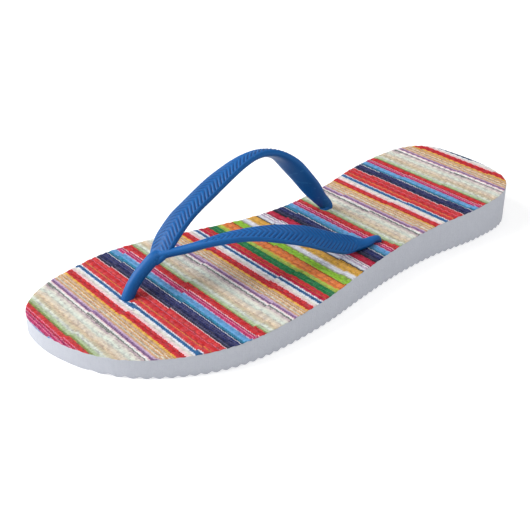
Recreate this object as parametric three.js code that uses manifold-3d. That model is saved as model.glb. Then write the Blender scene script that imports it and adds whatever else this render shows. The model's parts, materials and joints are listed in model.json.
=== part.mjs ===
// A left-foot flip flop. A die-cut sole of two laminated rubber sheets carries a one-piece moulded
// strap, which is held by three plugs in counterbores on the underside.
// Millimetres. +Z is up, the toe points to -Y and the big-toe side is -X. The ground is z = 0, and
// the origin is the middle of the sole's footprint on the ground.
import * as THREE from "three";
import { mergeVertices } from "three/addons/utils/BufferGeometryUtils.js";
import Module from "manifold-3d";

const wasm = await Module();
wasm.setup();

// Sole
const SOLE_LENGTH = 258;
const TOE_HEIGHT = 8; // the top of the footbed above the ground, at the tip of the toe
const HEEL_HEIGHT = 19.3; // the same at the back of the heel
const FOOTBED_THICKNESS = 3;
const GLUE_LINE = 0.3;
const OUTLINE_STEPS = 96;

// The flex line across the ball of the foot, where the sole bends
const FLEX_Y = -50;
const FLEX_GAP = 0.3;

// Ribs across the underside
const RIB_PITCH = 4;
const GROOVE_WIDTH = 1.7;
const GROOVE_DEPTH = 1;
const RIB_MARGIN = 6; // the plain end of the tread at the toe and the heel

// Strap
const STRAP_HALF_THICKNESS = 2.1;
const STRAP_STATIONS = 36;
const STRAP_SIDES = 16;
const BAND_SQUARENESS = 0.75; // the section is a superellipse: 1 is an ellipse, 0 a rectangle
const YOKE_RADIUS = 10.5; // the moulded V that belongs to the toe post
const NODE_GAP = 0.3;
const BRANCH_LANDING = 0.8; // the middle of a branch above the footbed where it enters its hole

// Strap ends: the place of each hole in plan, and the radius of the strap's neck in it
const ENDS = {
  toe: { place: [-10.5, -88.2], neckRadius: 2.8 },
  medial: { place: [-15.5, 31.5], neckRadius: 2.8 },
  lateral: { place: [26.3, 26], neckRadius: 2 },
};
const HOLE_CLEARANCE = 0.4;
const PLUG_RADIUS = 8;
const PLUG_THICKNESS = 2.6;
const PLUG_RECESS = 0.8; // the plug's face above the ground
const COUNTERBORE_RADIUS = 8.5;
const COUNTERBORE_DEPTH = 3.8;
const NECK_SPLIT = 2.5; // below the footbed, where a strap neck meets its plug
const NECK_STAND = 1; // how far a strap neck stands above the footbed
const ROUND_SIDES = 32;

const V_POINT = [-9.9, -71.9, 24.7]; // where the stem divides into the two branches
const CUT_MARGIN = 1; // how far a cutter reaches past what it cuts

const footbedHeight = (y) =>
  TOE_HEIGHT + ((HEEL_HEIGHT - TOE_HEIGHT) * (y + SOLE_LENGTH / 2)) / SOLE_LENGTH;

// Materials
const finish = (color, roughness) => new THREE.MeshStandardMaterial({ color, roughness, metalness: 0 });
const footbedFinish = () => finish(0xc9473d, 0.75);
const outsoleFinish = () => finish(0xdcdee4, 0.7);
const strapFinish = () => finish(0x1c63b4, 0.38);

// --- Solids ---

function solidOf(geometry) {
  const bare = geometry.clone();
  bare.deleteAttribute("normal");
  bare.deleteAttribute("uv");
  const merged = mergeVertices(bare, 1e-4);
  return new wasm.Manifold(
    new wasm.Mesh({
      numProp: 3,
      vertProperties: new Float32Array(merged.attributes.position.array),
      triVerts: new Uint32Array(merged.index.array),
    }),
  );
}

function meshOf(name, solid, material) {
  const made = solid.getMesh();
  const geometry = new THREE.BufferGeometry();
  geometry.setAttribute("position", new THREE.BufferAttribute(made.vertProperties, 3));
  geometry.setIndex(new THREE.BufferAttribute(made.triVerts, 1));
  geometry.computeVertexNormals();
  const mesh = new THREE.Mesh(geometry, material);
  mesh.name = name;
  return mesh;
}

// A box given by its lowest and highest corners.
function block(low, high) {
  const size = high.map((value, axis) => value - low[axis]);
  const middle = high.map((value, axis) => (value + low[axis]) / 2);
  return solidOf(new THREE.BoxGeometry(...size).translate(...middle));
}

// A round post standing on z = from at a place in plan.
function post([x, y], radius, from, to) {
  const geometry = new THREE.CylinderGeometry(radius, radius, to - from, ROUND_SIDES);
  return solidOf(geometry.rotateX(Math.PI / 2).translate(x, y, (from + to) / 2));
}

function ball(centre, radius) {
  const geometry = new THREE.SphereGeometry(radius, ROUND_SIDES, ROUND_SIDES / 2);
  return solidOf(geometry.translate(...centre));
}

// --- Sole ---

// The outline in plan, round from the tip of the toe along the little-toe side to the heel and back
// along the big-toe side.
function soleOutline() {
  const through = [
    [-13.3, -129],
    [0, -127.2],
    [15, -122.2],
    [29.5, -112.8],
    [41.3, -97.5],
    [48.7, -81],
    [51.3, -66],
    [51, -47],
    [48.3, -24.5],
    [42.8, 1.5],
    [38.2, 27],
    [36, 55],
    [37.2, 86],
    [33.8, 109.5],
    [23.5, 123],
    [4, 128.6],
    [-17, 129],
    [-32.5, 126],
    [-40.5, 115.5],
    [-42.5, 100],
    [-40, 73.5],
    [-34, 48],
    [-30.7, 21],
    [-32.8, -3],
    [-38.5, -24],
    [-47, -50.5],
    [-50.9, -72],
    [-49.2, -91],
    [-42.3, -114],
    [-30.5, -126],
  ];
  const curve = new THREE.CatmullRomCurve3(
    through.map(([x, y]) => new THREE.Vector3(x, y, 0)),
    true,
    "centripetal",
  );
  const points = curve.getSpacedPoints(OUTLINE_STEPS).slice(0, -1);
  const box = new THREE.Box3().setFromPoints(points);
  const centre = box.getCenter(new THREE.Vector3());
  const stretch = SOLE_LENGTH / (box.max.y - box.min.y);
  return points.map((p) => new THREE.Vector2(p.x - centre.x, (p.y - centre.y) * stretch));
}

// A sheet of the sole between two heights, each a function of y.
function soleSheet(outline, bottomAt, topAt) {
  const geometry = new THREE.ExtrudeGeometry(new THREE.Shape(outline), {
    depth: 1,
    bevelEnabled: false,
  });
  const position = geometry.attributes.position;
  for (let i = 0; i < position.count; i++) {
    const y = position.getY(i);
    position.setZ(i, position.getZ(i) > 0.5 ? topAt(y) : bottomAt(y));
  }
  return solidOf(geometry);
}

function ribGrooves() {
  const reach = SOLE_LENGTH / 2 - RIB_MARGIN;
  const count = Math.floor((2 * reach) / RIB_PITCH);
  const grooves = Array.from({ length: count + 1 }, (_, i) => {
    const y = (i - count / 2) * RIB_PITCH;
    const low = [-SOLE_LENGTH, y - GROOVE_WIDTH / 2, -CUT_MARGIN];
    return block(low, [SOLE_LENGTH, y + GROOVE_WIDTH / 2, GROOVE_DEPTH]);
  });
  return grooves.reduce((joined, groove) => joined.add(groove));
}

// The strap holes through the whole sole, with the counterbores that take the plugs.
function strapHoles() {
  const holes = Object.values(ENDS).map(({ place, neckRadius }) => {
    const bore = post(place, neckRadius + HOLE_CLEARANCE, -CUT_MARGIN, HEEL_HEIGHT + CUT_MARGIN);
    return bore.add(post(place, COUNTERBORE_RADIUS, -CUT_MARGIN, COUNTERBORE_DEPTH));
  });
  return holes.reduce((joined, hole) => joined.add(hole));
}

function soleParts() {
  const outline = soleOutline();
  const glueHeight = (y) => footbedHeight(y) - FOOTBED_THICKNESS;
  const holes = strapHoles();
  const footbed = soleSheet(outline, glueHeight, footbedHeight).subtract(holes);
  const outsole = soleSheet(outline, () => 0, (y) => glueHeight(y) - GLUE_LINE)
    .subtract(ribGrooves())
    .subtract(holes);
  const far = SOLE_LENGTH;
  const front = block([-far, -far, -far], [far, FLEX_Y - FLEX_GAP / 2, far]);
  const rear = block([-far, FLEX_Y + FLEX_GAP / 2, -far], [far, far, far]);
  return [
    meshOf("forefoot_footbed", footbed.intersect(front), footbedFinish()),
    meshOf("forefoot_outsole", outsole.intersect(front), outsoleFinish()),
    meshOf("rear_footbed", footbed.intersect(rear), footbedFinish()),
    meshOf("rear_outsole", outsole.intersect(rear), outsoleFinish()),
  ];
}

// --- Strap ---

// A value between the keys [t, value], eased from each to the next.
function between(keys, t) {
  const next = Math.max(1, keys.findIndex(([at]) => at >= t));
  const [t0, a] = keys[next - 1];
  const [t1, b] = keys[next];
  return THREE.MathUtils.lerp(a, b, THREE.MathUtils.smoothstep(t, t0, t1));
}

// A rounded band swept along a route. halfWidth, halfThickness and lean are keyed from 0 at its start
// to 1 at its end. lean turns the face from upwards to the right (outward 1) or the left (outward -1),
// in degrees.
function band({ route, halfWidth, halfThickness, lean, outward }) {
  const points = route.map((p) => new THREE.Vector3(...p));
  const curve = new THREE.CatmullRomCurve3(points, false, "centripetal");
  const geometry = new THREE.CylinderGeometry(1, 1, 1, STRAP_SIDES, STRAP_STATIONS);
  const position = geometry.attributes.position;
  const vertex = new THREE.Vector3();
  const up = new THREE.Vector3(0, 0, 1);
  for (let i = 0; i < position.count; i++) {
    vertex.fromBufferAttribute(position, i);
    const t = THREE.MathUtils.clamp(vertex.y + 0.5, 0, 1);
    const centre = curve.getPointAt(t);
    const along = curve.getTangentAt(t);
    const side = new THREE.Vector3().crossVectors(along, up).normalize();
    const face = new THREE.Vector3().crossVectors(side, along);
    face.applyAxisAngle(along, THREE.MathUtils.degToRad(between(lean, t)) * outward);
    side.crossVectors(along, face);
    const across = Math.sign(vertex.x) * Math.abs(vertex.x) ** BAND_SQUARENESS;
    const through = Math.sign(vertex.z) * Math.abs(vertex.z) ** BAND_SQUARENESS;
    centre.addScaledVector(side, across * between(halfWidth, t));
    centre.addScaledVector(face, through * between(halfThickness, t));
    position.setXYZ(i, ...centre);
  }
  return solidOf(geometry);
}

// The end of a branch's route, on the footbed over its hole.
const landing = ([x, y]) => [x, y, footbedHeight(y) + BRANCH_LANDING];

// The branch over the inner side of the foot, which arches high.
const medialBand = () =>
  band({
    route: [
      V_POINT,
      [-15.4, -57, 34.4],
      [-18.4, -43, 40.2],
      [-21.2, -28.2, 45.5],
      [-22.1, -13.1, 50.4],
      [-21.9, -3.2, 50.8],
      [-20.4, 6.9, 46.7],
      [-18.9, 15.8, 36.7],
      [-16.9, 25.1, 24.2],
      landing(ENDS.medial.place),
    ],
    halfWidth: [[0, 4.8], [0.1, 6.1], [0.35, 5.5], [0.6, 5.3], [0.8, 5.8], [1, 3.3]],
    halfThickness: [[0, 2.6], [0.15, STRAP_HALF_THICKNESS], [0.85, STRAP_HALF_THICKNESS], [1, 2.4]],
    lean: [[0, 8], [0.35, 0], [0.6, 20], [0.8, 31], [1, 62]],
    outward: -1,
  });

// The branch over the outer side of the foot, which is lower and lands almost flat.
const lateralBand = () =>
  band({
    route: [
      V_POINT,
      [-4, -64.4, 26.7],
      [6.3, -50.5, 31.8],
      [15.3, -35.8, 33.4],
      [22.4, -18.7, 29.8],
      [25.6, -3, 22.5],
      [26.6, 9, 17.9],
      [26.8, 18, 15.9],
      landing(ENDS.lateral.place),
    ],
    halfWidth: [[0, 2.7], [0.12, 2.3], [0.3, 3.6], [0.6, 5.4], [0.8, 5], [0.91, 2.5], [1, 1.9]],
    halfThickness: [[0, 1.9], [0.8, 1.9], [1, 1.7]],
    lean: [[0, 0], [0.25, 4], [0.5, 26], [0.75, 42], [1, 50]],
    outward: 1,
  });

// The stem between the toes, which leans back from its hole to the V.
function stem() {
  const { place, neckRadius } = ENDS.toe;
  const [x, y] = place;
  return band({
    route: [
      [x, y, 4],
      [x, y + 0.4, 9.5],
      [x, y + 2.8, 13.8],
      [x, y + 6, 17.6],
      [x, y + 10, 21],
      V_POINT,
    ],
    halfWidth: [[0, neckRadius], [0.5, 2.9], [1, 3.2]],
    halfThickness: [[0, neckRadius], [0.5, 2.8], [1, 2.9]],
    lean: [[0, 0], [1, 0]],
    outward: 1,
  });
}

// A plug and the neck above it, which stops inside the hole.
function plug({ place, neckRadius }) {
  const top = PLUG_RECESS + PLUG_THICKNESS;
  const neckTop = footbedHeight(place[1]) - NECK_SPLIT;
  return post(place, PLUG_RADIUS, PLUG_RECESS, top).add(post(place, neckRadius, top - CUT_MARGIN, neckTop));
}

// The round neck at a strap end, from inside the hole to just above the footbed.
function neck({ place, neckRadius }) {
  const height = footbedHeight(place[1]);
  return post(place, neckRadius, height - NECK_SPLIT + NODE_GAP, height + NECK_STAND);
}

// Cuts a strap end off flat inside its hole, clear of the plug's neck.
function aboveSplit(solid, [x, y]) {
  const height = footbedHeight(y) - NECK_SPLIT + NODE_GAP;
  const reach = COUNTERBORE_RADIUS;
  return solid.subtract(block([x - reach, y - reach, -reach], [x + reach, y + reach, height]));
}

// What a strap end must stay clear of: the sole with its gap, but for the bores of the holes.
function soleRoom() {
  const sheet = soleSheet(soleOutline(), () => -CUT_MARGIN, (y) => footbedHeight(y) + NODE_GAP);
  const bores = Object.values(ENDS).map(({ place, neckRadius }) =>
    post(place, neckRadius, -2 * CUT_MARGIN, HEEL_HEIGHT + CUT_MARGIN),
  );
  return bores.reduce((room, bore) => room.subtract(bore), sheet);
}

function strapParts() {
  const medial = medialBand();
  const lateral = lateralBand();
  const yoke = ball(V_POINT, YOKE_RADIUS - NODE_GAP / 2);
  const yokeRoom = ball(V_POINT, YOKE_RADIUS + NODE_GAP / 2);
  const room = soleRoom();
  const seated = (solid, end) => aboveSplit(solid.subtract(room).add(neck(end)), end.place);
  const toePost = seated(stem(), ENDS.toe).add(medial.add(lateral).intersect(yoke));
  const branch = (solid, end) => seated(solid.subtract(yokeRoom), end);
  const plugs = Object.entries(ENDS).map(([name, end]) =>
    meshOf(`strap_${name}_plug`, plug(end), strapFinish()),
  );
  return [
    meshOf("strap_toe_post", toePost, strapFinish()),
    meshOf("strap_medial_branch", branch(medial, ENDS.medial), strapFinish()),
    meshOf("strap_lateral_branch", branch(lateral, ENDS.lateral), strapFinish()),
    ...plugs,
  ];
}

const flipFlop = new THREE.Group();
flipFlop.add(...soleParts(), ...strapParts());
export default flipFlop;
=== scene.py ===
"""The looks of the left-foot flip flop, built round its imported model. Metres, +Z up, toe towards -Y."""
import json
import math

import bpy
import numpy as np
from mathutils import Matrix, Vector


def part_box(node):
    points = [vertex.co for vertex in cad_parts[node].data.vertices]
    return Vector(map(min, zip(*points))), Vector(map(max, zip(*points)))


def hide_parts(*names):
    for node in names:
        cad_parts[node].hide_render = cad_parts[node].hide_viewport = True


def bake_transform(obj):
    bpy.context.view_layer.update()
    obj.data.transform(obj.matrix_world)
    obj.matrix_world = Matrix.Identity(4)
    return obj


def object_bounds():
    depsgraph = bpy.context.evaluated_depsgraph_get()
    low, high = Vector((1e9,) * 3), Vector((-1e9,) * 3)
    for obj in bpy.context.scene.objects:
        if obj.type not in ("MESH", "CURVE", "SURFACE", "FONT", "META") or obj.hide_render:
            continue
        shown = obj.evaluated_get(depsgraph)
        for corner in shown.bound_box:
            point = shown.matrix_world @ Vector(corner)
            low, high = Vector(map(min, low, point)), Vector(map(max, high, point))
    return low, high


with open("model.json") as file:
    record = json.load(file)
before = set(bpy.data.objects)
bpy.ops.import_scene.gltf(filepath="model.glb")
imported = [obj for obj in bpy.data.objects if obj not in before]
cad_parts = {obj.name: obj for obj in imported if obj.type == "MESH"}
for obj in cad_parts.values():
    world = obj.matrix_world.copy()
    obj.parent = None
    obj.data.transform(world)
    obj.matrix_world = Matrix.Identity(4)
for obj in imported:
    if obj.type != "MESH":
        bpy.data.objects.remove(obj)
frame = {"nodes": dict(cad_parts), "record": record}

MM = 0.001
cad_low, cad_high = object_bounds()
joint = frame["record"]["behaviour"]["joints"][0]
FLEX_POINT = Vector(joint["pos_m"])

# --- Camera, light and floor ---

CAMERA_AZIMUTH = 50.5
CAMERA_ELEVATION = 28.39
CAMERA_DISTANCE = 0.4561
CAMERA_TARGET = Vector((-9.6, -12.5, -0.3)) * MM
CAMERA_LENS = 65.0


def add_camera():
    azimuth, elevation = math.radians(CAMERA_AZIMUTH), math.radians(CAMERA_ELEVATION)
    flat = math.cos(elevation)
    back = Vector((math.sin(azimuth) * flat, -math.cos(azimuth) * flat, math.sin(elevation)))
    camera = bpy.data.objects.new("camera", bpy.data.cameras.new("camera"))
    bpy.context.scene.collection.objects.link(camera)
    camera.location = CAMERA_TARGET + back * CAMERA_DISTANCE
    camera.rotation_euler = back.to_track_quat("Z", "Y").to_euler()
    camera.data.lens = CAMERA_LENS
    camera.data.sensor_width = 36
    camera.data.clip_start, camera.data.clip_end = 0.01, 20
    bpy.context.scene.camera = camera


# Each light's place and disk size in metres, and its power in watts.
LIGHTS = {
    "softbox_key": ((-0.8, -0.85, 0.8), 1.2, 21.5),
    "softbox_top": ((0.1, 0.2, 1.2), 1.0, 4),
    "softbox_fill": ((0.75, -0.45, 1.1), 0.9, 2.5),
}
WORLD_STRENGTH = 0.37
FLOOR_HALF_SIDE = 60
FLOOR_DROP = 0.05 * MM
FLOOR_GREY = 0.65
FLOOR_GLOW = 0.5


def add_area_light(name, place, size, watts):
    light = bpy.data.lights.new(name, "AREA")
    light.shape = "DISK"
    light.size = size
    light.energy = watts
    lamp = bpy.data.objects.new(name, light)
    bpy.context.scene.collection.objects.link(lamp)
    lamp.location = place
    lamp.rotation_euler = Vector(place).to_track_quat("Z", "Y").to_euler()


def add_floor():
    half = FLOOR_HALF_SIDE
    corners = [(-half, -half, 0), (half, -half, 0), (half, half, 0), (-half, half, 0)]
    floor = new_object("floor", corners, [(0, 1, 2, 3)])
    floor.location.z = cad_low.z - FLOOR_DROP
    material = bpy.data.materials.new("floor_paper")
    material.use_nodes = True
    shader = material.node_tree.nodes["Principled BSDF"]
    shader.inputs["Base Color"].default_value = (FLOOR_GREY, FLOOR_GREY, FLOOR_GREY, 1)
    shader.inputs["Roughness"].default_value = 0.9
    shader.inputs["Emission Color"].default_value = (1, 1, 1, 1)
    shader.inputs["Emission Strength"].default_value = FLOOR_GLOW
    floor.data.materials.append(material)


def add_studio():
    world = bpy.data.worlds.new("studio")
    bpy.context.scene.world = world
    world.use_nodes = True
    world.node_tree.nodes["Background"].inputs["Color"].default_value = (1, 1, 1, 1)
    world.node_tree.nodes["Background"].inputs["Strength"].default_value = WORLD_STRENGTH
    for name, (place, size, watts) in LIGHTS.items():
        add_area_light(name, place, size, watts)
    add_floor()
    bpy.context.scene.view_settings.view_transform = "Standard"


# --- Mesh helpers ---


def new_object(name, vertices, faces):
    mesh = bpy.data.meshes.new(name)
    mesh.from_pydata(np.asarray(vertices).tolist(), [], faces)
    mesh.update()
    piece = bpy.data.objects.new(name, mesh)
    bpy.context.scene.collection.objects.link(piece)
    return piece


def coordinates(mesh):
    flat = np.zeros(len(mesh.vertices) * 3, np.float32)
    mesh.vertices.foreach_get("co", flat)
    return flat.reshape(-1, 3).astype(float)


def set_coordinates(mesh, points):
    mesh.vertices.foreach_set("co", np.asarray(points, np.float32).ravel())
    mesh.update()


def combine(piece, other, operation):
    """Joins other to piece, or cuts it out, and removes other."""
    modifier = piece.modifiers.new("combine", "BOOLEAN")
    modifier.operation = operation
    modifier.solver = "EXACT"
    modifier.object = other
    graph = bpy.context.evaluated_depsgraph_get()
    made = bpy.data.meshes.new_from_object(piece.evaluated_get(graph))
    piece.modifiers.remove(modifier)
    piece.data = made
    bpy.data.objects.remove(other)


def soften(piece, centre, reach, rounds):
    """Smooths the surface round a point, less and less out to reach."""
    points = coordinates(piece.data)
    pairs = np.zeros(len(piece.data.edges) * 2, np.int64)
    piece.data.edges.foreach_get("vertices", pairs)
    pairs = pairs.reshape(-1, 2)
    near = np.linalg.norm(points - centre, axis=1)
    pairs = pairs[(near[pairs] < 1.3 * reach).all(1)]  # the ring beyond reach stays still
    ends, others = np.r_[pairs[:, 0], pairs[:, 1]], np.r_[pairs[:, 1], pairs[:, 0]]
    count = np.maximum(np.bincount(ends, minlength=len(points)), 1)
    pull = (0.6 * smoothstep(reach, 0.4 * reach, near))[:, None]
    for _ in range(rounds):
        summed = [np.bincount(ends, points[others, k], len(points)) for k in range(3)]
        mean = np.column_stack(summed) / count[:, None]
        points = points + pull * (mean - points)
    set_coordinates(piece.data, points)


def ring_faces(rings, around):
    """Quads between rings of points, with a single face closing each end."""
    faces = []
    for r in range(rings - 1):
        a, b = r * around, (r + 1) * around
        faces += [(a + i, a + (i + 1) % around, b + (i + 1) % around, b + i) for i in range(around)]
    faces.append(tuple(range(around - 1, -1, -1)))
    faces.append(tuple(range((rings - 1) * around, rings * around)))
    return faces


def keep_rest_place(piece):
    """Stores each vertex's place at rest, in millimetres, for the materials to read at every pose."""
    rest = piece.data.attributes.new("rest", "FLOAT_VECTOR", "POINT")
    rest.data.foreach_set("vector", (coordinates(piece.data) / MM).astype(np.float32).ravel())


def shade(piece, sharp_degrees):
    piece.data.shade_smooth()
    piece.data.set_sharp_from_angle(angle=math.radians(sharp_degrees))


def smoothstep(low, high, value):
    t = np.clip((value - low) / (high - low), 0, 1)
    return t * t * (3 - 2 * t)


def catmull_rom(points, per_span, closed=False):
    """A smooth line through points, with per_span steps from each to the next."""
    p = np.asarray(points, float)
    if closed:
        p = np.vstack([p[-1], p, p[:2]])
    else:
        p = np.vstack([2 * p[0] - p[1], p, 2 * p[-1] - p[-2]])
    t = np.linspace(0, 1, per_span, endpoint=False)[:, None]
    made = []
    for a, b, c, d in zip(p[:-3], p[1:-2], p[2:-1], p[3:]):
        cubic = 2 * b + (c - a) * t + (2 * a - 5 * b + 4 * c - d) * t**2 + (3 * b - a - 3 * c + d) * t**3
        made.append(cubic / 2)
    if not closed:
        made.append(p[-2:-1])
    return np.vstack(made)


# --- The sole's outline and heights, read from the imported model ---

PLUGS = {side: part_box(f"strap_{side}_plug") for side in ("toe", "medial", "lateral")}
HOLE_CENTRES = {side: (low + high) / 2 for side, (low, high) in PLUGS.items()}
PLUG_RADIUS = (PLUGS["toe"][1].x - PLUGS["toe"][0].x) / 2


HOLE_MARGIN = 6 * MM
SPLIT_MARGIN = 0.5 * MM


def read_outline():
    """The sole's outline in plan, as a fine closed line, from the corners of the footbed solids."""
    corners = np.vstack([coordinates(frame["nodes"][n].data) for n in ("forefoot_footbed", "rear_footbed")])
    near_hole = np.zeros(len(corners), bool)
    for centre in HOLE_CENTRES.values():
        near_hole |= np.hypot(corners[:, 0] - centre.x, corners[:, 1] - centre.y) < HOLE_MARGIN
    on_split = np.abs(corners[:, 1] - FLEX_POINT.y) < SPLIT_MARGIN
    plan = np.unique(np.round(corners[~near_hole & ~on_split, :2], 6), axis=0)
    plan = plan[np.argsort(np.arctan2(plan[:, 1], plan[:, 0]))]
    return catmull_rom(plan, 12, closed=True)


def read_top_slope():
    """Height and slope of the flat footbed, from the lowest and highest corners of its two solids."""
    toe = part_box("forefoot_footbed")
    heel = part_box("rear_footbed")
    slope = (heel[1].z - toe[1].z) / (heel[1].y - toe[1].y)
    return heel[1].z - slope * heel[1].y, slope


OUTLINE = read_outline()
TOP_AT_ORIGIN, TOP_SLOPE = read_top_slope()
FOOTBED_THICKNESS = 3 * MM


def footbed_height(y):
    return TOP_AT_ORIGIN + TOP_SLOPE * y


def half_outline(side):
    """The outline from toe to heel on one side, as rising y and its x."""
    first, last = np.argmin(OUTLINE[:, 1]), np.argmax(OUTLINE[:, 1])
    toe_to_heel = np.roll(OUTLINE, -first, axis=0)
    last = (last - first) % len(OUTLINE)
    runs = toe_to_heel[: last + 1], np.vstack([toe_to_heel[last:], toe_to_heel[:1]])[::-1]
    chosen = max(runs, key=lambda run: side * run[:, 0].mean())
    return chosen[:, 1], chosen[:, 0]


LEFT, RIGHT = half_outline(-1), half_outline(1)
ROW_END = 4 * MM


def sole_rows(step):
    """y of the cross-sections, even along the sole and closer together at its two round ends."""
    toe, heel = OUTLINE[:, 1].min(), OUTLINE[:, 1].max()
    ends = ROW_END * np.linspace(0.08, 1, 14) ** 2
    middle = np.arange(toe + ROW_END + step, heel - ROW_END, step)
    return np.concatenate([toe + ends, middle, heel - ends[::-1]])


def edge_distance(points):
    """How far inside the outline each point is, in plan."""
    a, b = OUTLINE[::3], np.roll(OUTLINE[::3], -1, axis=0)
    d = b - a
    length = (d**2).sum(1)
    nearest = []
    for chunk in np.array_split(points, max(1, len(points) // 4000)):
        offset = chunk[:, None, :] - a[None]
        t = np.clip((offset * d).sum(2) / length, 0, 1)
        nearest.append(np.sqrt(((offset - t[..., None] * d) ** 2).sum(2)).min(1))
    return np.concatenate(nearest)


def sole_layer(name, rows, bottom_columns, top_columns, wall_steps, bottom, top):
    """A closed sheet with the sole's outline. bottom and top give z from x and y."""
    left, right = np.interp(rows, *LEFT), np.interp(rows, *RIGHT)
    rings = []
    for y, a, b in zip(rows, left, right):
        low_x, high_x = a + (b - a) * bottom_columns, a + (b - a) * top_columns
        low_z, high_z = bottom(low_x, y), top(high_x, y)
        rise = np.linspace(0, 1, wall_steps + 1)[1:-1]
        right_wall = np.c_[np.full(len(rise), b), low_z[-1] + (high_z[-1] - low_z[-1]) * rise]
        left_wall = np.c_[np.full(len(rise), a), high_z[0] + (low_z[0] - high_z[0]) * rise]
        loop = np.vstack([np.c_[low_x, low_z], right_wall, np.c_[high_x, high_z][::-1], left_wall])
        rings.append(np.insert(loop, 1, y, axis=1))
    around = len(rings[0])
    faces = [face[::-1] for face in ring_faces(len(rings), around)]
    return new_object(name, np.vstack(rings), faces)


def cylinder(centre, radius, low, high, sides=64):
    turn = np.linspace(0, 2 * math.pi, sides, endpoint=False)
    ring = np.c_[centre.x + radius * np.cos(turn), centre.y + radius * np.sin(turn)]
    vertices = np.vstack([np.insert(ring, 2, z, axis=1) for z in (low, high)])
    return new_object("cutter", vertices, ring_faces(2, sides))


# --- Footbed sheet ---

HOLE_RADII = {"toe": 2.9 * MM, "medial": 2.9 * MM, "lateral": 2.0 * MM}
GRAIN_HEIGHT = 0.3 * MM
GRAIN_ALONG = 3.3 * MM
GRAIN_ACROSS = 4.0 * MM
EDGE_ROLL = 0.5 * MM
# The strap ends press the footbed down round their holes.
DIMPLE_DEPTH = 0.7 * MM
DIMPLE_WIDTH = 3.125 * MM
FOOTBED_STEP = 0.66 * MM
FOOTBED_COLUMNS = 150


def grain(x, y):
    """Low oval bumps in staggered rows, from 0 to 1."""
    row = y / GRAIN_ALONG
    stagger = 0.5 * (np.floor(row) % 2)
    u = (x / GRAIN_ACROSS + stagger) % 1 - 0.5
    v = row % 1 - 0.5
    return np.clip(1 - (2.1 * u) ** 2 - (2.1 * v) ** 2, 0, 1)


def build_footbed():
    rows = sole_rows(FOOTBED_STEP)
    even = np.linspace(0, 1, FOOTBED_COLUMNS)
    edge = np.array([0.0015, 0.0035])
    columns = np.sort(np.concatenate([even, edge, 1 - edge]))
    glue = lambda x, y: footbed_height(y) - FOOTBED_THICKNESS + 0 * x
    flat = lambda x, y: footbed_height(y) + 0 * x
    piece = sole_layer("footbed", rows, np.linspace(0, 1, 9), columns, 3, glue, flat)
    points = coordinates(piece.data)
    on_top = np.abs(points[:, 2] - footbed_height(points[:, 1])) < 1e-6
    x, y = points[on_top, 0], points[on_top, 1]
    distance = edge_distance(points[on_top, :2])
    inset = np.clip(EDGE_ROLL - distance, 0, EDGE_ROLL)
    roll = EDGE_ROLL - np.sqrt(EDGE_ROLL**2 - inset**2)
    dimple = sum(
        DIMPLE_DEPTH * np.exp(-(((x - c.x) ** 2 + (y - c.y) ** 2) / DIMPLE_WIDTH**2))
        for c in HOLE_CENTRES.values()
    )
    points[on_top, 2] += GRAIN_HEIGHT * (grain(x, y) - 0.7) - roll - dimple
    set_coordinates(piece.data, points)
    for side, centre in HOLE_CENTRES.items():
        height = footbed_height(centre.y)
        bore = cylinder(centre, HOLE_RADII[side], height - 6 * MM, height + 4 * MM)
        combine(piece, bore, "DIFFERENCE")
    return piece


# --- Outsole ---

RIB_PITCH = 4 * MM
RIB_DEPTH = 1.0 * MM
COUNTERBORE_DEPTH = 3.8 * MM


def rib_height(y):
    """Underside height above the ground: rounded ribs with a sharp groove between them."""
    from_middle = np.abs((y / RIB_PITCH + 0.5) % 1 - 0.5) * 2
    toe, heel = OUTLINE[:, 1].min(), OUTLINE[:, 1].max()
    plain = smoothstep(toe + 3 * MM, toe + 9 * MM, y) * smoothstep(heel - 3 * MM, heel - 9 * MM, y)
    return RIB_DEPTH * from_middle**1.5 * plain


def build_outsole():
    rows = sole_rows(0.4 * MM)
    columns = np.linspace(0, 1, 31)
    underside = lambda x, y: rib_height(y) + 0 * x
    glue = lambda x, y: footbed_height(y) - FOOTBED_THICKNESS + 0 * x
    piece = sole_layer("outsole", rows, columns, np.linspace(0, 1, 5), 5, underside, glue)
    for side, centre in HOLE_CENTRES.items():
        low = cad_low.z - 2 * MM
        combine(piece, cylinder(centre, PLUG_RADIUS + 0.4 * MM, low, COUNTERBORE_DEPTH), "DIFFERENCE")
        combine(piece, cylinder(centre, HOLE_RADII[side], low, footbed_height(centre.y)), "DIFFERENCE")
    return piece


# --- Strap ---

STRAP_STEP = 0.28 * MM
STRAP_AROUND = 88
CHEVRON_PITCH = 2.3 * MM
CHEVRON_DEPTH = {"strap": 0, "medial": 0.55 * MM, "lateral": 0.36 * MM}
# Half sizes of the strap's section, across and through it, where the model's slices don't reach.
NECKS = {"toe": (2.8, 2.8), "medial": (2.8, 2.8), "lateral": (1.9, 1.8)}
FEET = {"medial": (3.1, 2.2), "lateral": (1.9, 1.8)}
FOOT_ACROSS = {"medial": (0.35, 0.93, 0), "lateral": (1, 0, 0)}
FOOT_SHIFT = {"medial": 0.7, "lateral": -0.4}
NECK_BELOW_TOP = 1.8 * MM
NECK_ABOVE_PLUG = 1.5 * MM
PATTERN_FROM_V = {"medial": 0.5 * MM, "lateral": 20 * MM}
PATTERN_FROM_END = 26 * MM
NO_PATTERN = 99 * MM
V_FROM_TOE_HOLE = Vector((0.1, 16.2, 15.1)) * MM


def v_point():
    """Where the stem divides, up and back from the toe hole in the footbed."""
    hole = HOLE_CENTRES["toe"]
    return np.array(Vector((hole.x, hole.y, footbed_height(hole.y))) + V_FROM_TOE_HOLE)


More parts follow.
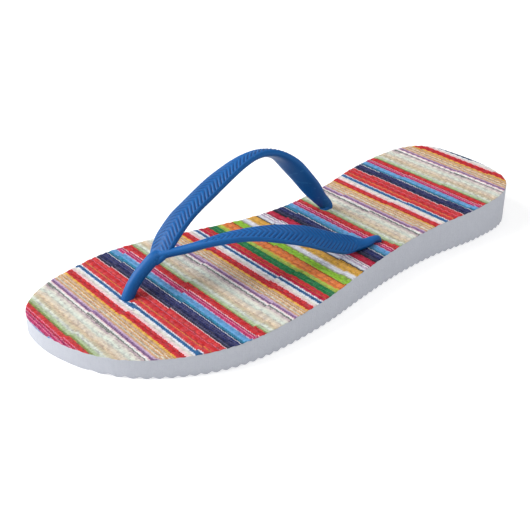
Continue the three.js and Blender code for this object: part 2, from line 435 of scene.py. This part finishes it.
def slice_node(node, axis, value):
    """Where a CAD node's edges cross a plane square to one axis, as points."""
    mesh = frame["nodes"][node].data
    points = coordinates(mesh)
    pairs = np.zeros(len(mesh.edges) * 2, np.int64)
    mesh.edges.foreach_get("vertices", pairs)
    a, b = points[pairs[::2]], points[pairs[1::2]]
    crosses = (a[:, axis] - value) * (b[:, axis] - value) < 0
    a, b = a[crosses], b[crosses]
    t = ((value - a[:, axis]) / (b[:, axis] - a[:, axis]))[:, None]
    return a + (b - a) * t


def station(points, axis):
    """Centre of a slice, its long direction and the half lengths of its two directions."""
    middle = (points.min(0) + points.max(0)) / 2
    plane = [i for i in range(3) if i != axis]
    flat = (points - middle)[:, plane]
    directions = np.linalg.eigh(flat.T @ flat)[1].T[::-1]
    spans = [flat @ d for d in directions]
    centre, long = middle.copy(), np.zeros(3)
    centre[plane] += sum((s.max() + s.min()) / 2 * d for s, d in zip(spans, directions))
    long[plane] = directions[0]
    return centre, long, *[(s.max() - s.min()) / 2 for s in spans]


def branch_stations(side, clear_of_v, clear_of_hole, count):
    """Centre, side direction and half sizes along a branch, from slices across the sole's length."""
    node = f"strap_{side}_branch"
    first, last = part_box(node)[0].y + clear_of_v, HOLE_CENTRES[side].y - clear_of_hole
    made = [station(slice_node(node, 1, y), 1) for y in np.linspace(first, last, count)]
    centres = np.array([m[0] for m in made])
    tangents = np.gradient(centres, axis=0)
    tangents /= np.linalg.norm(tangents, axis=1)[:, None]
    stations = []
    for (centre, long, half_long, half_short), tangent in zip(made, tangents):
        across = long - (long @ tangent) * tangent
        half_width = half_long * np.linalg.norm(across)
        across *= np.sign(across[0]) / np.linalg.norm(across)
        slant = abs(np.cross(tangent, across)[[0, 2]] @ np.array([-long[2], long[0]]))
        stations.append((centre, across, half_width, half_short * slant))
    return stations


def at(place, across, half_sizes):
    """A station given directly, with half sizes in millimetres."""
    return np.asarray(place, float), np.array(across, float), half_sizes[0] * MM, half_sizes[1] * MM


def stem_stations():
    """The toe post, from its plug up through the footbed and, by slices, nearly to the V."""
    hole, base = HOLE_CENTRES["toe"], PLUGS["toe"][0].z
    across = (1, 0, 0)
    stations = [at((hole.x, hole.y, base + NECK_ABOVE_PLUG), across, NECKS["toe"])]
    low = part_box("strap_toe_post")[0].z
    for z in np.linspace(low + 0.5 * MM, v_point()[2] - 4 * MM, 5):
        stations.append(at(station(slice_node("strap_toe_post", 2, z), 2)[0], across, (2.85, 2.8)))
    return stations


def hole_stations(side):
    """The end of a branch: over its hole in the footbed, then straight down into its plug."""
    hole = HOLE_CENTRES[side]
    top = footbed_height(hole.y)
    over_hole = (hole.x, hole.y + FOOT_SHIFT[side] * MM, top + 0.5 * MM)
    return [
        at(over_hole, FOOT_ACROSS[side], FEET[side]),
        at((hole.x, hole.y, top - NECK_BELOW_TOP), (1, 0, 0), NECKS[side]),
        at((hole.x, hole.y, PLUGS[side][0].z + NECK_ABOVE_PLUG), (1, 0, 0), NECKS[side]),
    ]


def fine_stations(stations):
    """Even, closely spaced stations with a square frame at each."""
    centres = catmull_rom([s[0] for s in stations], 40)
    others = catmull_rom([np.r_[s[1], s[2], s[3]] for s in stations], 40)
    length = np.r_[0, np.cumsum(np.linalg.norm(np.diff(centres, axis=0), axis=1))]
    even = np.linspace(0, length[-1], int(length[-1] / STRAP_STEP))
    resample = lambda table: np.column_stack([np.interp(even, length, column) for column in table.T])
    centres, others = resample(centres), resample(others)
    tangents = np.gradient(centres, axis=0)
    tangents /= np.linalg.norm(tangents, axis=1)[:, None]
    sides = others[:, :3] - (others[:, :3] * tangents).sum(1)[:, None] * tangents
    sides /= np.linalg.norm(sides, axis=1)[:, None]
    return even, centres, sides, np.cross(sides, tangents), others[:, 3], others[:, 4]


def chevrons(along, across, half_width):
    """Depth of the moulded pattern on the outer face, from 0 on its border to 1 in a groove."""
    border = np.clip(1.15 * MM / half_width, 0.2, 0.6)
    panel = 1 - smoothstep(1 - border, 1 - border + 0.12, np.abs(across) / half_width)
    phase = (along + 0.95 * np.abs(across)) / CHEVRON_PITCH
    ridge = np.clip(0.62 + 0.62 * np.cos(2 * np.pi * phase), 0, 1)
    return panel * (0.12 + 0.88 * (1 - ridge))


def strap_tube(name, stations, pattern_from_v, pattern_from_end):
    """A closed tube through the stations, with a crowned, patterned outer face."""
    along, centres, sides, faces, half_width, half_thickness = fine_stations(stations)
    turn = np.linspace(0, 2 * math.pi, STRAP_AROUND, endpoint=False)
    flatness = smoothstep(1.15, 1.9, half_width / half_thickness)[:, None]
    power = 1 - 0.3 * flatness
    across = np.sign(np.cos(turn)) * np.abs(np.cos(turn)) ** power * half_width[:, None]
    depth = np.sign(np.sin(turn)) * np.abs(np.sin(turn)) ** power * half_thickness[:, None]
    from_v = along - along[np.argmin(np.linalg.norm(centres - v_point(), axis=1))]
    to_end = along[-1] - along
    shown = smoothstep(pattern_from_v, pattern_from_v + 3 * MM, from_v)
    shown *= smoothstep(pattern_from_end, pattern_from_end + 6 * MM, to_end)
    outer = smoothstep(0.15, 0.5, np.sin(turn))[None, :]
    pattern = chevrons(from_v[:, None], across, half_width[:, None]) * shown[:, None] * outer
    depth = depth - CHEVRON_DEPTH[name] * pattern
    points = centres[:, None] + across[..., None] * sides[:, None] + depth[..., None] * faces[:, None]
    return new_object(name, points.reshape(-1, 3), ring_faces(len(along), STRAP_AROUND))


# Radius and height above its face of the plug's rings, in millimetres.
PLUG_PROFILE = [
    (2.2, 0.35), (2.6, 0.0), (7.1, 0.0), (7.75, 0.25), (8, 0.8), (8, 1.9), (7.7, 2.4), (7.0, 2.6),
]
PLUG_SIDES = 64


def build_plug(side):
    """The round plug at a strap end, with a shallow dimple in its face."""
    centre, base = HOLE_CENTRES[side], PLUGS[side][0].z
    turn = np.linspace(0, 2 * math.pi, PLUG_SIDES, endpoint=False)
    circle = np.c_[np.cos(turn), np.sin(turn), np.zeros(PLUG_SIDES)]
    rings = [np.array([centre.x, centre.y, base + z * MM]) + r * MM * circle for r, z in PLUG_PROFILE]
    return new_object("plug", np.vstack(rings), ring_faces(len(rings), PLUG_SIDES))


def toward(start, end):
    return (end - start) / np.linalg.norm(end - start)


def root_stations(v, stem, medial, lateral):
    """The hidden starts of the three arms, each thin inside its neighbours where they meet at the V."""
    to_medial, to_lateral = toward(v, medial[0][0]), toward(v, lateral[0][0])
    way = {
        "medial": to_medial,
        "lateral": to_lateral,
        "stem": toward(stem[-1][0], v),
        "behind": np.cross(to_medial, medial[0][1]),
        "down": np.array([0, 0, -1.0]),
    }

    def root(arm, half_sizes, **shifts):
        return at(v + sum(shifts[k] * way[k] for k in shifts) * MM, arm[0][1], half_sizes)

    stem_tip = [
        root(stem, (2.9, 2.6), stem=-1.5),
        root(stem, (1.7, 1.1), stem=1.5, behind=0.8),
    ]
    medial_root = [
        root(medial, (1.8, 1.1), medial=-4.2, behind=1.2),
        root(medial, (3.6, 1.6), medial=-1.6, behind=1.1),
        root(medial, (5.2, 1.9), medial=2, behind=0.8),
        root(medial, (5.9, 2.1), medial=6.5, behind=0.2),
    ]
    lateral_root = [
        root(lateral, (1.5, 1.3), lateral=-2.6, down=0.9),
        root(lateral, (2.4, 2.0), lateral=0.6, down=0.7),
        root(lateral, (2.3, 1.9), lateral=6, down=0.3),
    ]
    return stem_tip, medial_root, lateral_root, to_medial


def build_strap():
    """The whole moulded strap: toe post, two branches and three plugs, joined into one skin."""
    v = v_point()
    stem = stem_stations()
    medial = branch_stations("medial", 4 * MM, 4 * MM, 13)
    lateral = branch_stations("lateral", 4 * MM, 3.5 * MM, 18)
    stem_tip, medial_root, lateral_root, to_medial = root_stations(v, stem, medial, lateral)
    piece = strap_tube("strap", stem + stem_tip, NO_PATTERN, 0)
    branches = {"medial": medial_root + medial, "lateral": lateral_root + lateral}
    for side, stations in branches.items():
        stations = stations + hole_stations(side)
        combine(piece, strap_tube(side, stations, PATTERN_FROM_V[side], PATTERN_FROM_END), "UNION")
    soften(piece, v - to_medial * 1.5 * MM, 4.5 * MM, 12)
    for side in PLUGS:
        combine(piece, build_plug(side), "UNION")
    return piece


# --- Materials ---


def srgb(code):
    """A #rrggbb colour as linear red, green, blue and alpha."""
    parts = [int(code[i : i + 2], 16) / 255 for i in (1, 3, 5)]
    return (*[c / 12.92 if c <= 0.04045 else ((c + 0.055) / 1.055) ** 2.4 for c in parts], 1)


class Shader:
    """A material's node tree with short ways to add and join nodes."""

    def __init__(self, name):
        self.material = bpy.data.materials.new(name)
        self.material.use_nodes = True
        self.tree = self.material.node_tree
        self.surface = self.tree.nodes["Principled BSDF"]

    def node(self, kind, inputs=(), **settings):
        made = self.tree.nodes.new(kind)
        for key, value in settings.items():
            setattr(made, key, value)
        for key, value in dict(inputs).items():
            self.join(value, made.inputs[key])
        return made

    def join(self, value, socket):
        if isinstance(value, bpy.types.NodeSocket):
            self.tree.links.new(value, socket)
        else:
            socket.default_value = value

    def math(self, operation, *values):
        made = self.node("ShaderNodeMath", enumerate(values), operation=operation)
        return made.outputs[0]

    def rest(self):
        """x, y and z of the surface point at rest, in millimetres, and the three together."""
        found = self.node("ShaderNodeAttribute", attribute_name="rest", attribute_type="GEOMETRY")
        split = self.node("ShaderNodeSeparateXYZ", {0: found.outputs["Vector"]})
        return *split.outputs, found.outputs["Vector"]

    def vector(self, x, y, z=0.0):
        return self.node("ShaderNodeCombineXYZ", {0: x, 1: y, 2: z}).outputs[0]

    def noise(self, vector, scale, detail=2.0):
        made = self.node("ShaderNodeTexNoise", {"Vector": vector, "Scale": scale, "Detail": detail})
        return made.outputs["Fac"]

    def speckle(self, vector):
        """A random value in each unit cell of vector. Fixed parts of vector choose the pattern."""
        cell = self.node("ShaderNodeVectorMath", {0: vector}, operation="FLOOR").outputs[0]
        made = self.node("ShaderNodeTexWhiteNoise", {"Vector": cell}, noise_dimensions="3D")
        return made.outputs["Value"]

    def mix(self, share, a, b, blend="MIX"):
        made = self.node("ShaderNodeMix", data_type="RGBA", blend_type=blend)
        self.join(share, made.inputs[0])
        self.join(a, made.inputs[6])
        self.join(b, made.inputs[7])
        return made.outputs[2]

    def scale(self, value, factor):
        return self.math("MULTIPLY", value, factor)

    def ramp(self, value, start, end, low=0.0, high=1.0):
        """low where value is at start, high where it is at end, and level beyond them."""
        inputs = {0: value, 1: start, 2: end, 3: low, 4: high}
        return self.node("ShaderNodeMapRange", inputs).outputs[0]

    def spread(self, value, low, high):
        """value, from 0 to 1, as low to high."""
        return self.ramp(value, 0.0, 1.0, low, high)

    def cell(self, value, size):
        """The place of value within its cell of this size, from -0.5 to 0.5."""
        return self.math("SUBTRACT", self.math("FRACT", self.scale(value, 1 / size)), 0.5)

    def finish(self, roughness, specular):
        self.join(roughness, self.surface.inputs["Roughness"])
        self.surface.inputs["Specular IOR Level"].default_value = specular

    def bump(self, height, distance_mm):
        inputs = {"Height": height, "Distance": distance_mm * MM, "Strength": 1.0}
        self.join(self.node("ShaderNodeBump", inputs).outputs[0], self.surface.inputs["Normal"])


COLOURS = {
    "sky": "#609bcc", "teal": "#2f7f9f", "deep": "#2a4a66", "blue": "#2d6496", "navy": "#222857",
    "ink": "#1c1e38", "coal": "#282c42", "plum": "#86658e", "lilac": "#bfa8c4", "mauve": "#bfadb0",
    "magenta": "#b02a60", "pink": "#e07f9a", "blush": "#ecc9cc", "crimson": "#b9203f", "red": "#c42b30",
    "scarlet": "#cb3a3b", "brick": "#9a3020", "orange": "#e27f40", "amber": "#dd9230", "gold": "#d9a441",
    "yellow": "#d9ab48", "ochre": "#c99a4e", "tan": "#cba077", "sand": "#d6c3a6", "khaki": "#c0b89c",
    "beige": "#d4c9b6", "bone": "#dcd8cc", "white": "#e6e5e2", "frost": "#dcdfe6", "mint": "#cfd7ca",
    "sage": "#adbf97", "olive": "#7f8a4c", "slate": "#6f7a72", "lime": "#8fc23a", "moss": "#a3b94a",
    "green": "#1f7a44", "black": "#26262e", "indigo": "#3d487e",
}

# Runs of the woven print: a colour and its share of the run.
TOE_RUN = [
    ("sky", 0.7), ("lilac", 0.3), ("magenta", 1.2), ("pink", 0.4), ("magenta", 0.9),
    ("pink", 0.4), ("crimson", 0.9), ("pink", 0.35), ("scarlet", 2.3), ("olive", 0.4),
]
EARTH_RUN = [
    ("olive", 0.4), ("sage", 1.9), ("mint", 1.5), ("khaki", 1.3), ("sand", 1.6), ("beige", 2.2),
    ("mint", 2.2), ("bone", 1.6), ("mauve", 1.1), ("slate", 0.7), ("white", 0.9), ("blush", 0.5),
    ("plum", 1.2), ("lilac", 0.8), ("tan", 1.4), ("bone", 0.25), ("khaki", 0.4), ("tan", 1.2),
    ("bone", 0.25), ("ochre", 0.5), ("tan", 0.5), ("sand", 0.35), ("tan", 0.8), ("yellow", 0.8),
]
RED_RUN = [
    ("red", 3.3), ("blush", 1.1), ("bone", 1.7), ("frost", 0.7), ("blue", 1.6), ("frost", 0.7),
    ("scarlet", 2.4), ("amber", 0.35), ("scarlet", 1.2), ("red", 1.9), ("pink", 0.2),
    ("scarlet", 1.5), ("red", 1.4), ("blush", 0.4),
]
NIGHT_RUN = [
    ("coal", 1.2), ("indigo", 0.25), ("ink", 0.7), ("navy", 1.2), ("indigo", 0.3), ("navy", 0.9),
    ("indigo", 0.25), ("navy", 0.8), ("frost", 0.3), ("deep", 0.6), ("teal", 1.2), ("sky", 2.7),
    ("lilac", 0.35), ("magenta", 1.2), ("pink", 0.4), ("magenta", 0.9), ("blush", 0.35), ("red", 3.2),
]
SHORT_RED_RUN = [
    ("red", 3.5), ("blush", 0.9), ("bone", 1.6), ("frost", 0.9), ("blue", 1.5), ("frost", 0.9),
    ("crimson", 1.9), ("orange", 0.3), ("red", 2.1),
]
FIESTA_RUN = [
    ("green", 4), ("moss", 2.0), ("yellow", 0.5), ("orange", 4.6), ("brick", 0.5), ("lime", 3.5),
    ("olive", 0.35), ("frost", 4.0), ("yellow", 1.1), ("gold", 3.4), ("black", 0.5), ("frost", 2.6),
    ("lilac", 0.6), ("white", 0.6), ("plum", 0.6), ("white", 0.6), ("magenta", 0.5), ("crimson", 3.6),
    ("black", 0.8),
]
HEEL_RUN = [("red", 4), ("blush", 1.2), ("bone", 1.3), ("frost", 0.8), ("deep", 1.7)]
# Where each run starts and ends along the sole, in millimetres from the middle of its length.
PRINT = [
    (-129, -121.5, TOE_RUN),
    (-121.5, -97.5, EARTH_RUN),
    (-97.5, -79.4, RED_RUN),
    (-79.4, -62, NIGHT_RUN),
    (-62, -38, EARTH_RUN),
    (-38, -24.3, SHORT_RED_RUN),
    (-24.3, 11, FIESTA_RUN),
    (11, 28.5, NIGHT_RUN),
    (28.5, 55.5, EARTH_RUN),
    (55.5, 75, RED_RUN),
    (75, 92, NIGHT_RUN),
    (92, 120, EARTH_RUN),
    (120, 129, HEEL_RUN),
]
RAMP_STOPS = 30
# Stripes of these colours run softly into their neighbours.
SOFT_COLOURS = ("sage", "mint", "khaki", "sand", "beige", "bone", "mauve", "frost", "tan", "lilac")
SOFT_SHARE = 0.3
SHARP_EDGE = 0.08


def print_stops():
    """(place in millimetres, linear colour) along the sole, for straight blends from each to the next."""
    stripes = []
    for start, end, run in PRINT:
        scale = (end - start) / sum(width for _, width in run)
        for name, width in run:
            stripes.append((name, start, start + width * scale))
            start += width * scale
    stops = []
    for name, start, end in stripes:
        inset = SOFT_SHARE * (end - start) if name in SOFT_COLOURS else SHARP_EDGE
        stops.append((start + inset, srgb(COLOURS[name])))
        stops.append((end - inset, srgb(COLOURS[name])))
    return stops


def stripe_colour(shader, along):
    """The print's colour at a place along the sole, from a chain of colour ramps."""
    stops = print_stops()
    colour = None
    for first in range(0, len(stops) - 1, RAMP_STOPS - 1):
        part = stops[first : first + RAMP_STOPS]
        start, end = part[0][0], part[-1][0]
        share = shader.ramp(along, start, end)
        ramp = shader.node("ShaderNodeValToRGB", {0: share})
        elements = ramp.color_ramp.elements
        elements[0].color, elements[1].color = part[0][1], part[-1][1]
        for at_place, value in part[1:-1]:
            elements.new((at_place - start) / (end - start)).color = value
        past = shader.math("GREATER_THAN", along, start)
        colour = ramp.outputs[0] if colour is None else shader.mix(past, colour, ramp.outputs[0])
    return colour


# The parts of the print where neighbouring colours run into each other thread by thread.
SOFT_RANGES = [(-120, -108), (-60, -48), (30, 43.5), (94, 109), (-35, -32.5)]


def softness(shader, along):
    """1 where the colours run into each other, 0 where their edges are sharp."""
    total = 0.0
    for low, high in SOFT_RANGES:
        middle, reach = (low + high) / 2, (high - low) / 2
        away = shader.math("ABSOLUTE", shader.math("SUBTRACT", along, middle))
        total = shader.math("ADD", total, shader.ramp(away, reach + 1, reach - 1))
    return total


# The weave's steps, where every stripe jumps along the sole, in millimetres.
STEP_EVERY = 47
STEP_DEPTH = 0.9
STEP_BAND = 9
WOBBLE_DEPTH = 0.25
TOOTH_PITCH = 1.3
TOOTH_DEPTH = 0.2
FRAY_CELL = (0.55, 2.3)
FRAY_DEPTH = (0.1, 0.4)
# Its threads.
THREAD_PITCH = 0.62
THREAD_DASH = 1.8
DOT_PITCH = 1.25
DOTTED_ABOVE = 0.72
CROSS_THREAD = 0.5


def woven_place(shader, x, y):
    """The place along the print that each point shows, with the weave's steps and loose threads."""
    band = shader.speckle(shader.vector(3.7, shader.scale(y, 1 / STEP_BAND), 0.5))
    across = shader.math("ADD", shader.scale(x, 1 / STEP_EVERY), band)
    step = shader.math("SUBTRACT", shader.math("FRACT", across), 0.5)
    wobble = shader.math("SUBTRACT", shader.noise(shader.vector(x, y), 0.09), 0.5)
    drift = shader.math("ADD", shader.scale(step, STEP_DEPTH), shader.scale(wobble, WOBBLE_DEPTH))
    fray_cell = shader.vector(shader.scale(x, 1 / FRAY_CELL[0]), shader.scale(y, 1 / FRAY_CELL[1]))
    fray = shader.math("SUBTRACT", shader.speckle(fray_cell), 0.5)
    reach = shader.spread(softness(shader, y), *FRAY_DEPTH)
    tooth = shader.math("GREATER_THAN", shader.cell(x, TOOTH_PITCH), 0.0)
    drift = shader.math("ADD", drift, shader.scale(tooth, TOOTH_DEPTH))
    return shader.math("ADD", shader.math("ADD", y, drift), shader.math("MULTIPLY", fray, reach))


def thread_colour(shader, colour, x, along):
    """Fine lines across the sole in dashes of their own shade, some of them rows of light dots."""
    thread = shader.scale(along, 1 / THREAD_PITCH)
    shift = shader.speckle(shader.vector(1.5, thread, 0.5))
    dash = shader.math("ADD", shader.scale(x, 1 / THREAD_DASH), shader.scale(shift, 7))
    chance = shader.math("POWER", shader.speckle(shader.vector(dash, thread)), 2.2)
    dark = shader.mix(1.0, colour, srgb("#b4a6b8"), "MULTIPLY")
    colour = shader.mix(shader.scale(chance, 0.5), colour, dark)
    dotted_row = shader.speckle(shader.vector(2.5, thread, 8.5))
    dotted_row = shader.math("GREATER_THAN", dotted_row, DOTTED_ABOVE)
    dot = shader.math("LESS_THAN", shader.cell(x, DOT_PITCH), 0.0)
    lighter = shader.mix(1.0, colour, srgb("#3a3434"), "ADD")
    return shader.mix(shader.scale(shader.math("MULTIPLY", dotted_row, dot), 0.7), colour, lighter)


def painted_hollow_shade(shader, colour, x, y):
    """Painted shade in the hollows between the bumps of the grain, least on pale stripes."""
    row = shader.scale(y, MM / GRAIN_ALONG)
    odd = shader.scale(shader.math("PINGPONG", shader.math("FLOOR", row), 1.0), 0.5)
    column = shader.math("ADD", shader.scale(x, MM / GRAIN_ACROSS), odd)
    u, v = shader.cell(column, 1), shader.cell(row, 1)
    away = shader.math("ADD", shader.math("MULTIPLY", u, u), shader.math("MULTIPLY", v, v))
    paleness = shader.node("ShaderNodeRGBToBW", {0: colour}).outputs[0]
    share = shader.ramp(away, 0.15, 0.33, 0.0, 0.5)
    share = shader.math("MULTIPLY", share, shader.math("SUBTRACT", 1.0, paleness))
    return shader.mix(share, colour, shader.mix(1.0, colour, srgb("#7c7686"), "MULTIPLY"))


def blotch_colour(shader, colour, x, y):
    """Broad blotches, as where the weave lets other threads show."""
    blotch = shader.noise(shader.vector(shader.scale(x, 0.35), y), 0.9, 3)
    worn = shader.mix(0.5, colour, srgb("#8f8a9c"))
    return shader.mix(shader.ramp(blotch, 0.45, 0.7, 0.0, 0.3), colour, worn)


def cross_thread_colour(shader, colour, x):
    cross = shader.speckle(shader.vector(shader.scale(x, 1 / CROSS_THREAD), 0.5))
    cross = shader.spread(cross, 0.92, 1.05)
    return shader.mix(1.0, colour, shader.vector(cross, cross, cross), "MULTIPLY")


def footbed_material():
    shader = Shader("printed_footbed")
    x, y, _, rest = shader.rest()
    along = woven_place(shader, x, y)
    colour = stripe_colour(shader, along)
    colour = thread_colour(shader, colour, x, along)
    # Painted shade darkens the hollows between the grain's bumps.
    colour = painted_hollow_shade(shader, colour, x, y)
    colour = blotch_colour(shader, colour, x, y)
    colour = cross_thread_colour(shader, colour, x)
    shader.join(colour, shader.surface.inputs["Base Color"])
    shader.finish(shader.spread(shader.noise(rest, 0.6), 0.65, 0.8), 0.12)
    fine = shader.math("ADD", shader.noise(rest, 2.2, 3), shader.scale(shader.noise(rest, 7), 0.4))
    shader.bump(fine, 0.1)
    return shader.material


def rubber_material():
    shader = Shader("white_rubber")
    x, y, z, rest = shader.rest()
    mottle = shader.noise(rest, 0.35, 4)
    grey = shader.mix(shader.spread(mottle, 0.1, 0.9), srgb("#b7bac4"), srgb("#c6c9d0"))
    # Faint upright lines left by the cutting die.
    streak_place = shader.vector(shader.scale(x, 2.2), shader.scale(y, 2.2), shader.scale(z, 0.12))
    streak = shader.noise(streak_place, 1.0, 3)
    grey = shader.mix(shader.spread(streak, 0.0, 0.4), grey, srgb("#b0b4c0"))
    pore = shader.math("GREATER_THAN", shader.noise(rest, 1.3, 3), 0.6)
    grey = shader.mix(shader.scale(pore, 0.2), grey, srgb("#a9adbb"))
    # Darker in patches low on the wall and on the ribs.
    low_darkening = shader.math("MULTIPLY", shader.ramp(z, 2.5, 0.0, 0.0, 0.35), shader.noise(rest, 0.5, 4))
    grey = shader.mix(low_darkening, grey, srgb("#9a9ca6"))
    shader.join(grey, shader.surface.inputs["Base Color"])
    shader.finish(shader.spread(shader.noise(rest, 0.9, 3), 0.6, 0.82), 0.3)
    shader.bump(shader.math("ADD", shader.noise(rest, 1.1, 4), shader.scale(streak, 0.7)), 0.2)
    return shader.material


def strap_material():
    shader = Shader("blue_strap")
    _, _, _, rest = shader.rest()
    cloud = shader.noise(rest, 0.12, 3)
    blue = shader.mix(cloud, srgb("#00549a"), srgb("#035ea3"))
    # Paler on sharp edges, as rubbed wear and as a painted highlight, and painted shade darkening the
    # grooves of the pattern.
    pointed = shader.node("ShaderNodeNewGeometry").outputs["Pointiness"]
    # Painted highlight, with rubbed wear, on sharp edges.
    blue = shader.mix(shader.ramp(pointed, 0.53, 0.58, 0.0, 0.35), blue, srgb("#3079b8"))
    # Painted shade in the grooves of the pattern.
    blue = shader.mix(shader.ramp(pointed, 0.5, 0.46, 0.0, 0.8), blue, srgb("#002c62"))
    shader.join(blue, shader.surface.inputs["Base Color"])
    shader.finish(shader.spread(shader.noise(rest, 0.8, 3), 0.4, 0.54), 0.3)
    shader.bump(shader.noise(rest, 3.0, 3), 0.03)
    return shader.material


# --- Putting it together ---


PRINT_DEPTH = 2 * MM
# Each piece's crease angle for shading, and two distances behind and ahead of the flex line that
# bend_at_ball is given but does not use.
CREASE = {"footbed": 45, "outsole": 40, "strap": 50}
BENDS = {"footbed": (0, 30 * MM), "outsole": (0, 30 * MM), "strap": (35 * MM, 22 * MM)}


def bend_at_ball(piece, start_behind, end_ahead):
    """Bakes the piece's place into its mesh; start_behind and end_ahead are not used."""
    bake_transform(piece)


def face_values(mesh, name):
    flat = np.zeros(len(mesh.polygons) * 3, np.float32)
    mesh.polygons.foreach_get(name, flat)
    return flat.reshape(-1, 3)


def lay_print(footbed):
    """Gives the print to the footbed's top faces. Its edge and the walls of its holes stay bare rubber."""
    faces_up = face_values(footbed.data, "normal")[:, 2] > 0.5
    centres = face_values(footbed.data, "center")
    near_top = centres[:, 2] > footbed_height(centres[:, 1]) - PRINT_DEPTH
    footbed.data.polygons.foreach_set("material_index", (faces_up & near_top).astype(np.int32))


def assemble():
    rubber = rubber_material()
    pieces = {"footbed": build_footbed(), "outsole": build_outsole(), "strap": build_strap()}
    pieces["footbed"].data.materials.append(rubber)
    pieces["footbed"].data.materials.append(footbed_material())
    lay_print(pieces["footbed"])
    pieces["outsole"].data.materials.append(rubber)
    pieces["strap"].data.materials.append(strap_material())
    for name, piece in pieces.items():
        shade(piece, CREASE[name])
        keep_rest_place(piece)
        bend_at_ball(piece, *BENDS[name])
    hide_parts("forefoot_footbed", "rear_footbed")
    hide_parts("forefoot_outsole", "rear_outsole")
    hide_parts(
        "strap_toe_post", "strap_medial_branch", "strap_lateral_branch",
        "strap_toe_plug", "strap_medial_plug", "strap_lateral_plug",
    )


add_camera()
add_studio()
assemble()
